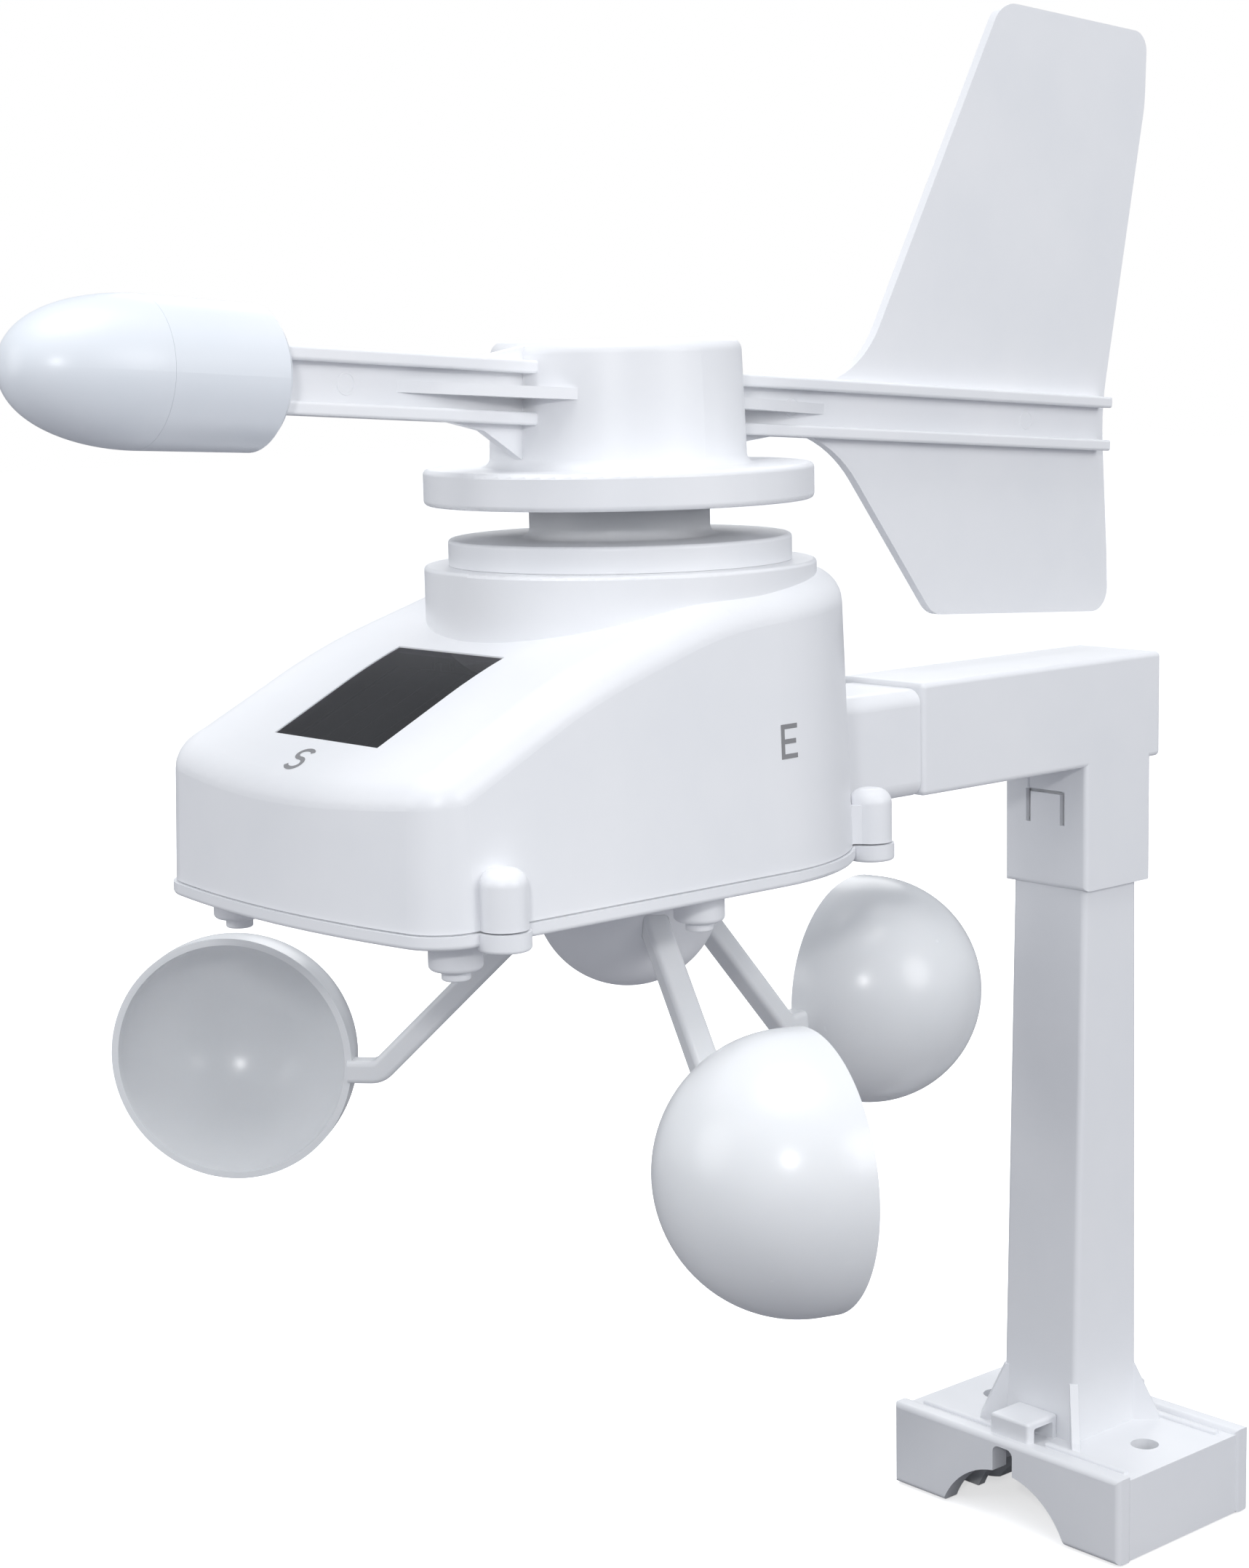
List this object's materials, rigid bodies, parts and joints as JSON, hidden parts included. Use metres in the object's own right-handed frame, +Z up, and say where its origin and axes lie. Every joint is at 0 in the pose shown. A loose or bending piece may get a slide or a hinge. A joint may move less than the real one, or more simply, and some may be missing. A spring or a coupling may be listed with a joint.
{
  "type": "wind speed and direction sensor",
  "caption": "Wind sensor with a cup rotor under a sloped solar-topped housing, a finned wind vane above it, and an elbow arm on a mast with a clamp foot.",
  "frame": {"origin": "centre of the foot's bottom face, midway between its two screw holes", "axes": "+Z up along the mast, +Y north (away from the sensor head), +X east; the head stands over -Y"},
  "size_m": [0.2052, 0.3144, 0.369],
  "materials": {
    "body_plastic": "satin",
    "cup_plastic": "gloss",
    "window_glass": "gloss",
    "cell": "gloss",
    "seal": "matte",
    "steel": "satin",
    "dark_plastic": "satin",
    "battery_jacket": "gloss",
    "board": "satin",
    "bearing_bronze": "satin",
    "cast_ballast": "matte",
    "magnet": "matte"
  },
  "bodies": {
    "frame": {"foot": "body_plastic", "mast": "body_plastic", "tie_bridge_south": "body_plastic", "tie_bridge_north": "body_plastic", "elbow_arm": "body_plastic", "housing": "body_plastic", "solar_window": "window_glass", "solar_cell": "cell", "bottom_cover": "body_plastic", "cover_gasket": "seal", "cover_screws": "steel", "battery_door": "body_plastic", "battery_holder": "dark_plastic", "batteries": "battery_jacket", "battery_contacts": "steel", "circuit_board": "board", "board_screws": "steel", "direction_sensor": "dark_plastic", "speed_sensor": "dark_plastic", "radio_module": "steel", "storage_capacitor": "dark_plastic", "antenna": "steel", "tower": "body_plastic", "vane_bearing_lower": "bearing_bronze", "vane_bearing_upper": "bearing_bronze", "rotor_bearing_lower": "bearing_bronze", "rotor_bearing_upper": "bearing_bronze"},
    "vane_assembly": {"vane": "body_plastic", "nose_front": "body_plastic", "nose_rear": "body_plastic", "nose_ballast": "cast_ballast", "vane_shaft": "steel", "vane_clip": "steel", "vane_magnet": "magnet"},
    "rotor_assembly": {"rotor_hub": "body_plastic", "cup_arm_1": "cup_plastic", "cup_arm_2": "cup_plastic", "cup_arm_3": "cup_plastic", "rotor_shaft": "steel", "rotor_clip": "steel", "rotor_magnet": "magnet"}
  },
  "joints": [
    {"name": "vane_turn", "type": "hinge", "parent": "frame", "child": "vane_assembly", "pos_m": [0, -0.146, 0.28], "axis": [0, 0, 1], "continuous": true},
    {"name": "rotor_spin", "type": "hinge", "parent": "frame", "child": "rotor_assembly", "pos_m": [0, -0.146, 0.18], "axis": [0, 0, 1], "continuous": true}
  ]
}
